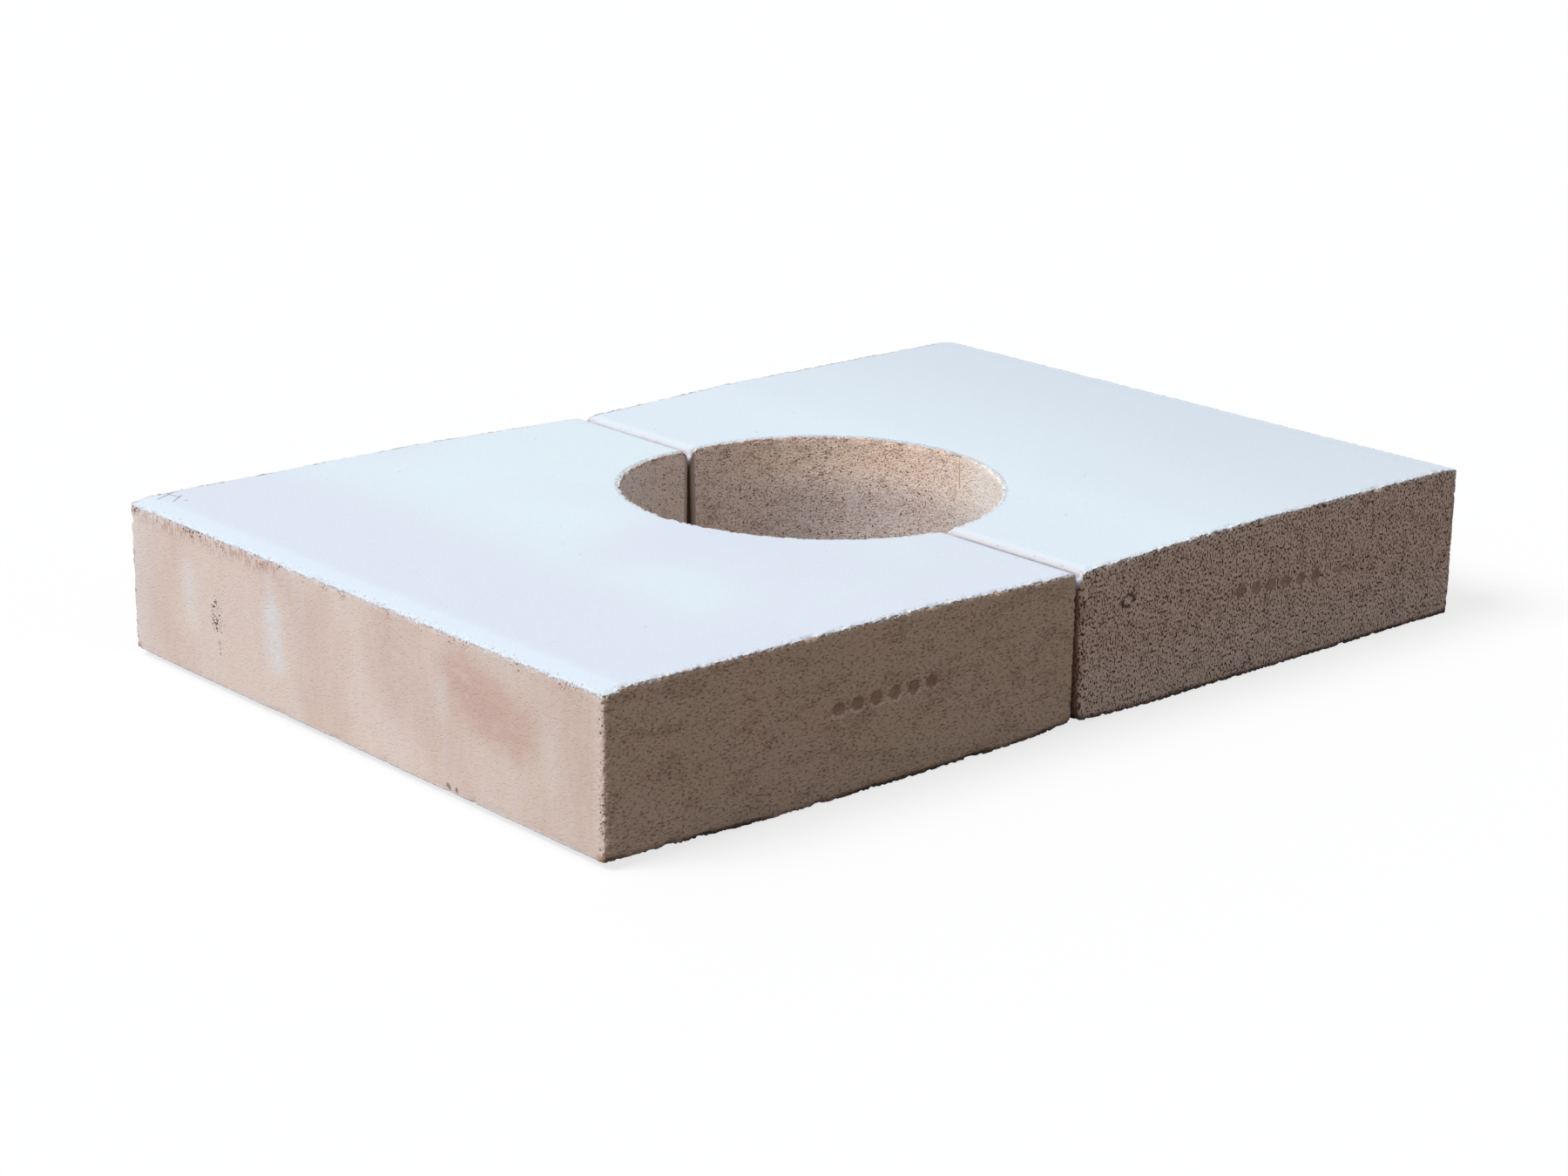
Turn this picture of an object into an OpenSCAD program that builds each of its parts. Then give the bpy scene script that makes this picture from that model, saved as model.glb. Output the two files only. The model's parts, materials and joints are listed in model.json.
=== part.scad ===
// Refractory oven slab in two halves: two fired blocks lie side by side on one level bed,
// and the half-round notch in each joint face makes one round opening through the pair.
// Millimetres, +Z up. The origin is on the bed, below the middle of the opening.

/* [Slab] */
// Length of one half, from its outer end to the joint
half_length = 300; // [260:5:400]
// Depth of the slab, from front to back
slab_depth = 400; // [300:5:600]
// Thickness of the slab at its fullest
slab_thickness = 85; // [60:1:120]

/* [Opening] */
// Diameter of the round opening
opening_d = 205; // [120:5:240]
// Rounding of the opening's upper and lower rim
rim_round = 1.5; // [1:0.5:5]

/* [Joint] */
// Gap between the two halves under their rounded top edges
joint_gap = 0.8; // [0.4:0.1:4]
// How far the left joint face falls back at the bed
left_joint_draft = 0.5; // [0:0.1:4]
// How far the right joint face falls back at the bed
right_joint_draft = 2.9; // [0:0.1:4]
// Width of the strip of the top face that slopes down to the joint
fall_width = 110; // [40:5:140]
// How far the top face slopes down to the joint
fall_drop = 3.4; // [0.5:0.1:6]
// Width of the rounded top edge of the left half along the joint
left_lip_width = 6; // [2:0.5:16]
// Drop of the rounded top edge of the left half along the joint
left_lip_drop = 5.5; // [1:0.5:10]
// Width of the rounded top edge of the right half along the joint
right_lip_width = 7; // [2:0.5:16]
// Drop of the rounded top edge of the right half along the joint
right_lip_drop = 7; // [1:0.5:10]
// Width of the strip of the bed face that is lifted along the joint
toe_width = 45; // [10:1:80]
// Height of the lifted bottom edge along the joint
toe_rise = 2.2; // [0.5:0.1:5]
// Rounding of the lifted bottom edge along the joint
toe_round = 4; // [1:0.5:8]

/* [Ends] */
// Width of the shallow bevel along each outer end's top edge
end_bevel_width = 12.5; // [4:0.5:30]
// Drop of the shallow bevel along each outer end's top edge
end_bevel_drop = 2; // [1:0.5:8]
// Width of the strip of the bed face that rises towards each outer end
foot_width = 110; // [20:5:140]
// How far the left half's outer end is lifted off the bed
left_foot_lift = 3.6; // [0:0.1:6]
// How far the right half's outer end is lifted off the bed
right_foot_lift = 0; // [0:0.1:6]
// Rounding of the outer ends' bottom edges
foot_round = 4; // [1:0.5:10]

/* [Edges] */
// Rounding of the four upright corners of each half
corner_round = 4; // [1:0.5:10]
// Rounding of the long edges at the front and back
long_edge_round = 2; // [1:0.5:6]

/* [Dimples] */
// Number of shallow dimples in the row on each front face
dimple_count = 6; // [1:1:10]
// Distance from one dimple to the next
dimple_pitch = 12; // [10:0.5:16]
// Width of a dimple
dimple_width = 8; // [4:0.5:9]
// Depth of a dimple
dimple_depth = 1.3; // [0.5:0.1:2]
// Height of the middle of each row above the bed
dimple_height = 46; // [20:1:50]
// How far the left row lies to the right of its half's middle
left_row_shift = 20; // [-40:1:40]
// How far the right row lies to the right of its half's middle
right_row_shift = 2; // [-40:1:40]
// Slope of the left row, in degrees, rising to the right
left_row_slope = 1; // [-5:0.5:5]
// Slope of the right row, in degrees, rising to the right
right_row_slope = -3; // [-5:0.5:5]

/* [Hidden] */
$fn = 96;
over = 1;             // how far a cutter passes the face that it cuts
round_steps = 5;      // flats in one rounded edge of the section
fired_clay = [0.80, 0.76, 0.72];
opening_r = opening_d / 2;
brow_height = slab_thickness - fall_drop;
dimple_r = (pow(dimple_width / 2, 2) + pow(dimple_depth, 2)) / (2 * dimple_depth);
row_length = (dimple_count - 1) * dimple_pitch;

// Quarter ellipse that rounds off a corner, from [0, height] to [width, 0] beside it
function rounded(corner, width, height) = [
    for (i = [0 : round_steps])
        corner + [width * (1 - cos(90 * i / round_steps)), height * (1 - sin(90 * i / round_steps))]
];

function backwards(points) = [for (i = [len(points) - 1 : -1 : 0]) points[i]];

// Section of one half along its length, with the outer end at x = 0 and the joint at half_length
module long_section(lip_width, lip_drop, draft, foot_lift) {
    toe_x = half_length - draft;
    polygon(concat(
        rounded([0, foot_lift], foot_round, foot_round),
        [[foot_width, 0], [toe_x - toe_width, 0]],
        backwards(rounded([toe_x, toe_rise], -toe_round, toe_round)),
        rounded([half_length, brow_height], -lip_width, -lip_drop),
        [[half_length - fall_width, slab_thickness], [end_bevel_width, slab_thickness]],
        [[0, slab_thickness - end_bevel_drop]]
    ));
}

// Rectangle from the origin with four rounded corners
module rounded_rectangle(width, height, radius) {
    difference() {
        square([width, height]);
        corner_cut(radius);
        translate([width, 0]) mirror([1, 0]) corner_cut(radius);
        translate([0, height]) mirror([0, 1]) corner_cut(radius);
        translate([width, height]) rotate(180) corner_cut(radius);
    }
}

// What rounds off a square corner at the origin
module corner_cut(radius) {
    difference() {
        translate([-over, -over]) square(radius + over);
        translate([radius, radius]) circle(radius);
    }
}

// One half without its notch: the outer end at x = 0, the depth centred on y = 0
module half_blank(lip_width, lip_drop, draft, foot_lift) {
    intersection() {
        translate([0, slab_depth / 2, 0]) rotate([90, 0, 0])
            linear_extrude(slab_depth) long_section(lip_width, lip_drop, draft, foot_lift);
        translate([0, -slab_depth / 2, 0])
            linear_extrude(slab_thickness) rounded_rectangle(half_length, slab_depth, corner_round);
        translate([0, -slab_depth / 2, 0]) rotate([90, 0, 90])
            linear_extrude(half_length) rounded_rectangle(slab_depth, slab_thickness, long_edge_round);
    }
}

// The round opening with its rounded rims, on the Z axis
module opening() {
    translate([0, 0, -over]) cylinder(h = slab_thickness + 2 * over, r = opening_r);
    rim_flare();
    translate([0, 0, slab_thickness]) mirror([0, 0, 1]) rim_flare();
}

// What rounds off the rim at z = 0
module rim_flare() {
    rotate_extrude() difference() {
        translate([opening_r - over, -over]) square([rim_round + over, rim_round + over]);
        translate([opening_r + rim_round, rim_round]) circle(rim_round);
    }
}

// Row of shallow dimples in the front face, centred on x
module dimple_row(x, slope) {
    translate([x, -slab_depth / 2 - dimple_r + dimple_depth, dimple_height]) rotate([0, -slope, 0])
        for (i = [0 : dimple_count - 1])
            translate([i * dimple_pitch - row_length / 2, 0, 0]) sphere(dimple_r);
}

module left_half_slab() {
    color(fired_clay) difference() {
        translate([-half_length - joint_gap / 2, 0, 0])
            half_blank(left_lip_width, left_lip_drop, left_joint_draft, left_foot_lift);
        opening();
        dimple_row(left_row_shift - (half_length + joint_gap) / 2, left_row_slope);
    }
}

module right_half_slab() {
    color(fired_clay) difference() {
        translate([half_length + joint_gap / 2, 0, 0]) mirror([1, 0, 0])
            half_blank(right_lip_width, right_lip_drop, right_joint_draft, right_foot_lift);
        opening();
        dimple_row(right_row_shift + (half_length + joint_gap) / 2, right_row_slope);
    }
}

left_half_slab();
right_half_slab();
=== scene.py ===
"""The looks of a refractory oven slab in two halves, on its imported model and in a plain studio."""

import json
import math

import bpy
import numpy as np
from mathutils import Matrix, Vector
from mathutils.geometry import delaunay_2d_cdt


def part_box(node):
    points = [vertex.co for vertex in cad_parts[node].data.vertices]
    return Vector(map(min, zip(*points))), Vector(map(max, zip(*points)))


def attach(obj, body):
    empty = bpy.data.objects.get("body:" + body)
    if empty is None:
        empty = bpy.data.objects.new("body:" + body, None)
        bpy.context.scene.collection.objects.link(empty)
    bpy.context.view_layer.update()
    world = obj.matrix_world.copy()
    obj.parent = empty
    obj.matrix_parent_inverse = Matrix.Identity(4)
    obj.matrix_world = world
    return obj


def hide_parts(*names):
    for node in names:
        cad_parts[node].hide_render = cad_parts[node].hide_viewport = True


bl_info = {
    "name": "Refractory Oven Slab",
    "version": (1, 0, 0),
    "blender": (4, 5, 0),
    "location": "3D Viewport > Sidebar > Oven Slab",
    "description": "Two fired half slabs around a round flue opening, with their clay finish and a studio",
    "category": "Add Mesh",
}

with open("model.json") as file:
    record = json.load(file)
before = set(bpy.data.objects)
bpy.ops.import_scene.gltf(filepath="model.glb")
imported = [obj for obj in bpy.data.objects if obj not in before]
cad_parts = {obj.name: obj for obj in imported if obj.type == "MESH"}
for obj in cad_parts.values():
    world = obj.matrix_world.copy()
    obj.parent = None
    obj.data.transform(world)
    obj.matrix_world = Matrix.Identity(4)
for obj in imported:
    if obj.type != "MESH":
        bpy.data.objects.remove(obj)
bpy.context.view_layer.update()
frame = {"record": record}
MM = 0.001

LEFT, RIGHT = "left_half_slab", "right_half_slab"
BODY = "root"

LEFT_LOW, LEFT_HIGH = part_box(LEFT)
RIGHT_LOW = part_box(RIGHT)[0]
FLUE = next(m for m in frame["record"]["mounts"] if m["name"] == "flue_opening")

# Faces of one half, in the order that its outline passes them
FACES = FRONT, JOINT, NOTCH, BACK, END = range(5)

# Width of the camera's sensor in millimetres, and the nearest distance that it sees in metres
SENSOR_WIDTH, NEAR_CLIP = 36, 0.05


# ------------------------------ settings


def length(name, description, default, **limits):
    return bpy.props.FloatProperty(
        name=name, description=description, default=default, unit="LENGTH", precision=5, **limits
    )


def colour(name, description, default):
    return bpy.props.FloatVectorProperty(
        name=name, description=description, default=default, subtype="COLOR", size=3, min=0, max=1
    )


def amount(name, description, default, **limits):
    return bpy.props.FloatProperty(name=name, description=description, default=default, **limits)


def srgb(red, green, blue):
    """Linear colour of an 8-bit display colour."""
    shares = (c / 255 for c in (red, green, blue))
    return tuple(c / 12.92 if c <= 0.04045 else ((c + 0.055) / 1.055) ** 2.4 for c in shares)


class SlabSizes(bpy.types.PropertyGroup):
    """Sizes that both halves share."""

    half_length: length("Half Length", "Outer end to joint", LEFT_HIGH.x - LEFT_LOW.x)
    depth: length("Depth", "Front to back", LEFT_HIGH.y - LEFT_LOW.y)
    thickness: length("Thickness", "Bed to top at its fullest", LEFT_HIGH.z)
    gap: length("Joint Gap", "Between the halves under their lips", RIGHT_LOW.x - LEFT_HIGH.x)
    opening: length("Opening Radius", "Of the round flue opening", FLUE["dims"]["r_mm"] * MM)
    corner: length("Corner Rounding", "Of the upright corners at the joint", 4 * MM)
    outer_corner: length("Outer Rounding", "Of the upright corners at the outer end", 2.5 * MM)
    cheek: length("Cheek Rounding", "Where the joint face meets the notch", 2 * MM)
    rim_round: length("Rim Rounding", "Upper rim of the opening", 1.5 * MM)
    bevel_width: length("Bevel Width", "Shallow bevel along the outer end", 12.5 * MM)
    bevel_drop: length("Bevel Drop", "Shallow bevel along the outer end", 2 * MM)
    fall_width: length("Fall Width", "Strip of the top that slopes to the joint", 110 * MM)
    fall_drop: length("Fall Drop", "Of the top towards the joint", 3.4 * MM)
    foot_width: length("Foot Width", "Strip of the bed that rises to the outer end", 110 * MM)
    toe_width: length("Toe Width", "Strip of the bed that rises to the joint", 45 * MM)
    toe_rise: length("Toe Rise", "Of the bed along the joint", 2.2 * MM)
    knee: amount("Knee", "Softness of the bends in the top and bed, as a share of each strip", 0.1)
    dimple_count: bpy.props.IntProperty(name="Dimples", description="In each front face", default=6, min=1)
    dimple_pitch: length("Dimple Pitch", "From one dimple to the next", 12 * MM)
    dimple_width: length("Dimple Width", "Across one dimple", 8.4 * MM)
    dimple_depth: length("Dimple Depth", "At its middle", 1.3 * MM)
    dimple_height: length("Dimple Height", "Of the row above the bed", 46 * MM)


class HalfSizes(bpy.types.PropertyGroup):
    """Sizes and wear that differ between the two halves."""

    lip_width: length("Lip Width", "Rounded top edge along the joint", 6 * MM)
    lip_drop: length("Lip Drop", "Rounded top edge along the joint", 5.5 * MM)
    draft: length("Joint Draft", "How far the joint face falls back at the bed", 0.5 * MM)
    heel_width: length("Heel Width", "Rounded bottom edge along the joint", 12 * MM)
    heel_rise: length("Heel Rise", "Rounded bottom edge along the joint", 3.6 * MM)
    foot_lift: length("Foot Lift", "Outer end above the bed", 3.6 * MM)
    row_shift: length("Row Shift", "Dimple row right of the half's middle", 20 * MM)
    row_slope: amount("Row Slope", "Dimple row, rising to the right", math.radians(1), subtype="ANGLE")
    # Painted shade: how far the top greys where its light falls off
    top_falloff: amount("Top Falloff", "How far painted shade greys the top towards the outer end", 0.0, min=0, max=1)
    pitting: amount("Pitting", "How dense and dark the pits of the cut faces are", 0.25, min=0, max=1)
    streaking: amount("Streaking", "How far the front's grain is drawn out lengthways", 1, min=0, max=1)
    seed: bpy.props.IntProperty(name="Seed", description="Of the clay's random relief", default=3)


class ClayFinish(bpy.types.PropertyGroup):
    """Colours and relief of the fired clay."""

    # The blue tint of this and the other colours of the top is painted cool skylight; the white is the
    # engobe's own
    top: colour("Top", "Smooth white engobe of the top", srgb(225, 238, 246))
    top_shade: colour("Top Shade", "Faint lilac clouds in the top", srgb(222, 229, 241))
    # Painted shade of the top, where its light falls off
    falloff_grey: colour("Falloff Grey", "Painted shade where the light on the top falls off", srgb(207, 214, 225))
    bevel: colour("Bevel", "Thicker engobe on the bevels", srgb(221, 232, 243))
    lip: colour("Lip", "Thinner engobe on the rounded edge along the joint", srgb(219, 218, 222))
    # Painted shade: grey in the gap under the joint's lip and low in the opening; it also greys the end's
    # upper arris
    shade_grey: colour("Shade Grey", "Painted shade under the joint's lip and low in the opening; also greys the end's upper arris", srgb(150, 146, 156))
    end: colour("End", "Smooth outer end", srgb(240, 219, 207))
    end_shade: colour("End Shade", "Outer end towards the front", srgb(217, 197, 181))
    end_blush: colour("End Blush", "Warm clouds of the outer end", srgb(219, 185, 174))
    # Pale rubbed streaks, and also painted light on the lower rounding of the end
    bloom_and_painted_light: colour("Bloom and Painted Light", "Pale rubbed streaks of the outer end, and painted light on its lower rounding", srgb(242, 236, 237))
    body: colour("Body", "Ground of the cut faces", srgb(186, 158, 135))
    body_dark: colour("Body Shade", "Darker clay between the grains", srgb(166, 134, 116))
    body_light: colour("Grog", "Pale grains in the cut faces", srgb(230, 200, 185))
    olive: colour("Olive", "Yellowish clouds in the cut faces", srgb(181, 155, 126))
    russet: colour("Russet", "Reddish clouds in the cut faces", srgb(192, 151, 134))
    # Painted light: paler clay where the wall of the round opening is lit
    pale: colour("Lit Clay", "Painted light: palest clay where the wall of the round opening is lit", srgb(254, 244, 236))
    # Paler than the cut faces: painted light for the inside of the opening
    notch: colour("Notch", "Clay of the round opening, paler than the cut faces as painted light", srgb(252, 232, 220))
    scorch: colour("Scorch", "Warm tint high in the round opening", srgb(255, 227, 206))
    # Also painted shade on the joint face, in the gap between the halves
    seam: colour("Seam", "Dark brown of pits, specks and dimples, and painted shade on the joint face", srgb(140, 98, 78))
    pit: colour("Pit", "Inside the pits", srgb(70, 46, 36))
    iron: colour("Iron", "Orange-brown iron spots", srgb(196, 138, 92))
    # Painted shade: dark along the rounded edge of the bed, which is out of the light
    foot_shade: colour("Foot Shade", "Painted shade along the rounded edge of the bed", srgb(70, 52, 46))
    warp: length("Warp", "Slow unevenness of the faces", 0.3 * MM)
    grain_depth: length("Grain Depth", "Roughness of the cut faces", 0.35 * MM)
    chip_depth: length("Chip Depth", "Broken bits along the arrises", 1.9 * MM)


class StudioSetup(bpy.types.PropertyGroup):
    """Camera, lamps and floor."""

    lens: amount("Lens", f"Focal length in millimetres on a {SENSOR_WIDTH} mm sensor", 75.68)
    eye: bpy.props.FloatVectorProperty(
        name="Eye", description="Place of the camera", default=(-1.14393, -1.27079, 0.55519), unit="LENGTH"
    )
    heading: amount("Heading", "Of the view, clockwise from +Y", math.radians(41.522), subtype="ANGLE")
    tilt: amount("Tilt", "Of the view, downwards", math.radians(17.224), subtype="ANGLE")
    roll: amount("Roll", "Of the camera", math.radians(0.696), subtype="ANGLE")
    key_from: bpy.props.FloatVectorProperty(
        name="Key From", description="Direction of the key lamp", default=(-0.55, 0.22, 0.76)
    )
    key_spread: amount("Key Spread", "Angle that the key lamp fills", math.radians(32), subtype="ANGLE")
    key_level: amount("Key Level", "Brightness that the key gives a white face turned to it", 0.86)
    key_tint: colour("Key Tint", "Colour of the key lamp", (0.97, 0.985, 1.0))
    sky_level: amount("Sky Level", "Brightness of the surroundings", 0.34)
    floor: colour("Floor", "Floor as it lights the slab from below", (0.28, 0.28, 0.28))
    floor_seen: colour("Floor Seen", "Floor as it is seen", (0.98, 0.98, 0.98))
    floor_glow: amount("Floor Glow", "Share of the seen floor that takes no shadow", 0.75)
    floor_side: length("Floor Side", "Side of the square floor", 30.0)


# ------------------------------ nodes


class Wire:
    """A socket of a node tree in a Python expression: each operator adds its Math node."""

    def __init__(self, tree, socket):
        self.tree, self.socket = tree, socket

    def math(self, operation, *others):
        return node(self.tree, "ShaderNodeMath", {"operation": operation}, dict(enumerate((self, *others))))

    def __add__(self, other):
        return self.math("ADD", other)

    def __sub__(self, other):
        return self.math("SUBTRACT", other)

    def __rsub__(self, other):
        return (self * -1) + other

    def __mul__(self, other):
        return self.math("MULTIPLY", other)

    def __truediv__(self, other):
        return self.math("DIVIDE", other)

    __radd__, __rmul__ = __add__, __mul__

    def least(self, other):
        return self.math("MINIMUM", other)

    def most(self, other):
        return self.math("MAXIMUM", other)

    def power(self, other):
        return self.math("POWER", other)

    def absolute(self):
        return self.math("ABSOLUTE")

    def ramp(self, low, high, to_low=0.0, to_high=1.0):
        """Smooth step from to_low at low to to_high at high."""
        inputs = {"Value": self, "From Min": low, "From Max": high, "To Min": to_low, "To Max": to_high}
        return node(self.tree, "ShaderNodeMapRange", {"interpolation_type": "SMOOTHSTEP"}, inputs)


def node(tree, kind, settings=None, inputs=None, output=0):
    """Adds a node: its settings first, then the values or links of its sockets. Gives one output's wire."""
    made = tree.nodes.new(kind)
    for name, value in (settings or {}).items():
        setattr(made, name, value)
    for name, value in (inputs or {}).items():
        if isinstance(value, Wire):
            tree.links.new(value.socket, made.inputs[name])
        else:
            made.inputs[name].default_value = value
    return Wire(tree, made.outputs[output])


def vector(tree, operation, *values):
    return node(tree, "ShaderNodeVectorMath", {"operation": operation}, dict(enumerate(values)))


def joined(tree, *values):
    """A vector from its three parts."""
    return node(tree, "ShaderNodeCombineXYZ", None, dict(enumerate(values)))


def part(tree, arrow, axis):
    """One part of a vector."""
    return node(tree, "ShaderNodeSeparateXYZ", None, {0: arrow}, axis)


def noise(tree, place, scale, detail=2.0, roughness=0.5):
    inputs = {"Vector": place, "Scale": scale, "Detail": detail, "Roughness": roughness}
    return node(tree, "ShaderNodeTexNoise", None, inputs)


# ------------------------------ half slab

# Spacing of the outline's points on its straight faces, and their count on its bends
STEP = {FRONT: 1.1 * MM, JOINT: 2.4 * MM, BACK: 2.2 * MM, END: 1.6 * MM}
CORNER_STEPS, CHEEK_STEPS, NOTCH_STEPS = 7, 6, 250
# Rows of a wall: on each rounding, in a fine band under the rim, and from there to the foot.
# FINE_ROWS_PER_WALL is how many rows as close as the fine ones would fill the wall.
BEND_ROWS, FINE_ROWS, FINE_ROWS_PER_WALL, LOWER_ROWS = 6, 6, 78, 55
# Nets of the top and the bed: distance from the outline, and spacing from there on
TOP_NET = [(0, 1.1 * MM), (5 * MM, 2.2 * MM), (14 * MM, 4.4 * MM), (40 * MM, 8.8 * MM)]
BED_NET = [(0, 2 * MM), (6 * MM, 4 * MM), (20 * MM, 8 * MM)]
# Gap between the outline and a net, as a share of the net's first spacing
NET_MARGIN = 0.6
# How far the engobe runs down each face, in millimetres
ENGOBE_REACH = {FRONT: 2, JOINT: 9, NOTCH: 1.3, BACK: 2, END: 1.9}
# Edge distance of points far from every edge, and engobe depth of points far outside it
FAR, BARE = 1.0, -20 * MM
# Height from which a point belongs to the top, and strip of a half that falls back with its joint face
UPPER_PART, DRAFT_REACH = 60 * MM, 30 * MM
# Width over which the bevel's engobe ends, and distance at which points of a cap count as one
BEVEL_BLUR, MERGE_WITHIN = 1.2 * MM, 1e-7


def soft_step(x, knee):
    """x where it is above zero and zero below, with a soft bend between."""
    return (x + np.sqrt(x * x + knee * knee)) / 2


def top_height(sizes, half, u):
    """Height of the top face at a distance u from the outer end."""
    to_joint = sizes.half_length - u
    bevel = sizes.bevel_drop * soft_step(1 - u / sizes.bevel_width, sizes.knee)
    fall = sizes.fall_drop * soft_step(1 - to_joint / sizes.fall_width, sizes.knee)
    lip = np.clip(1 - to_joint / half.lip_width, 0, 1)
    return sizes.thickness - bevel - fall - half.lip_drop * (1 - np.sqrt(1 - lip * lip))


def bed_height(sizes, half, u):
    """Height of the bed face at a distance u from the outer end."""
    foot = half.foot_lift * soft_step(1 - u / sizes.foot_width, sizes.knee)
    to_joint = sizes.half_length - u
    toe = sizes.toe_rise * soft_step(1 - to_joint / sizes.toe_width, sizes.knee)
    heel = np.clip(1 - to_joint / half.heel_width, 0, 1)
    return foot + toe + half.heel_rise * (1 - np.sqrt(1 - heel * heel))


def plan_depth(sizes, u, v):
    """How far a point of the plan lies inside the outline of one half."""
    middle = np.array([sizes.half_length, sizes.depth]) / 2 - sizes.corner
    over = np.abs(np.stack([u - sizes.half_length / 2, v], -1)) - middle
    outside = np.hypot(*np.maximum(over, 0).T) + np.minimum(over.max(-1), 0)
    notch = np.hypot(u - sizes.half_length - sizes.gap / 2, v) - sizes.opening
    return np.minimum(sizes.corner - outside, notch)


def plan_outline(sizes):
    """Outline of one half from above, as points, outward normals and faces.
    It runs anticlockwise from the outer front corner. The outer end is at u = 0, the joint at half_length."""
    long, half_depth, round_by, cheek = sizes.half_length, sizes.depth / 2, sizes.corner, sizes.cheek
    outer = sizes.outer_corner
    centre = np.array([long + sizes.gap / 2, 0.0])
    reach = sizes.opening + cheek
    cheek_v = math.sqrt(reach**2 - (cheek + sizes.gap / 2) ** 2)
    meet = math.atan2(cheek_v, cheek + sizes.gap / 2)
    points, normals, faces = [], [], []

    def straight(start, end, normal, face):
        count = round(math.dist(start, end) / STEP[face])
        share = np.arange(count)[:, None] / count
        points.append(np.array(start) + share * (np.array(end) - np.array(start)))
        normals.append(np.tile(normal, (count, 1)))
        faces.append(np.full(count, face))

    def arc(middle, radius, start, end, count, first, last, inwards=False):
        angle = start + (end - start) * np.arange(count) / count
        out = np.stack([np.cos(angle), np.sin(angle)], -1)
        points.append(np.array(middle) + out * (-radius if inwards else radius))
        normals.append(out)
        faces.append(np.where(np.arange(count) < count / 2, first, last))

    right = math.pi / 2
    straight((outer, -half_depth), (long - round_by, -half_depth), (0, -1), FRONT)
    arc((long - round_by, round_by - half_depth), round_by, -right, 0, CORNER_STEPS, FRONT, JOINT)
    straight((long, round_by - half_depth), (long, -cheek_v), (1, 0), JOINT)
    arc((long - cheek, -cheek_v), cheek, 0, meet, CHEEK_STEPS, JOINT, NOTCH)
    arc(centre, sizes.opening, meet, -meet, NOTCH_STEPS, NOTCH, NOTCH, inwards=True)
    arc((long - cheek, cheek_v), cheek, -meet, 0, CHEEK_STEPS, NOTCH, JOINT)
    straight((long, cheek_v), (long, half_depth - round_by), (1, 0), JOINT)
    arc((long - round_by, half_depth - round_by), round_by, 0, right, CORNER_STEPS, JOINT, BACK)
    straight((long - round_by, half_depth), (outer, half_depth), (0, 1), BACK)
    arc((outer, half_depth - outer), outer, right, 2 * right, CORNER_STEPS, BACK, END)
    straight((0, half_depth - outer), (0, outer - half_depth), (-1, 0), END)
    arc((outer, outer - half_depth), outer, 2 * right, 3 * right, CORNER_STEPS, END, FRONT)
    return np.concatenate(points), np.concatenate(normals), np.concatenate(faces)


def smooth_round(values, passes=8):
    """Evens out values along a closed outline."""
    for _ in range(passes):
        values = (np.roll(values, 1, 0) + 2 * values + np.roll(values, -1, 0)) / 4
    return values


def cap_points(sizes, inset, spacings):
    """Points that fill a cap: a square net that gets coarser away from the outline."""
    kept = []
    start = inset + NET_MARGIN * spacings[0][1]
    for (near, step), far in zip(spacings, [s[0] for s in spacings[1:]] + [math.inf]):
        u, v = np.meshgrid(
            np.arange(0, sizes.half_length, step), np.arange(0, sizes.depth, step) - sizes.depth / 2
        )
        u, v = u.ravel(), v.ravel()
        depth = plan_depth(sizes, u, v)
        chosen = (depth >= max(near, start)) & (depth < far)
        kept.append(np.stack([u[chosen], v[chosen]], -1))
    return np.concatenate(kept)


def cap_triangles(loop, inner):
    """Triangles of the area inside a closed loop, over the loop's points followed by the inner ones."""
    every = np.concatenate([loop, inner])
    area = [list(range(len(loop)))]
    result = delaunay_2d_cdt([Vector(p) for p in every], [], area, 0, MERGE_WITHIN, True)
    _, _, faces, points, _, areas = result
    source = [ids[0] for ids in points]
    return np.array([[source[i] for i in face] for face, inside in zip(faces, areas) if inside])


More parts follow.
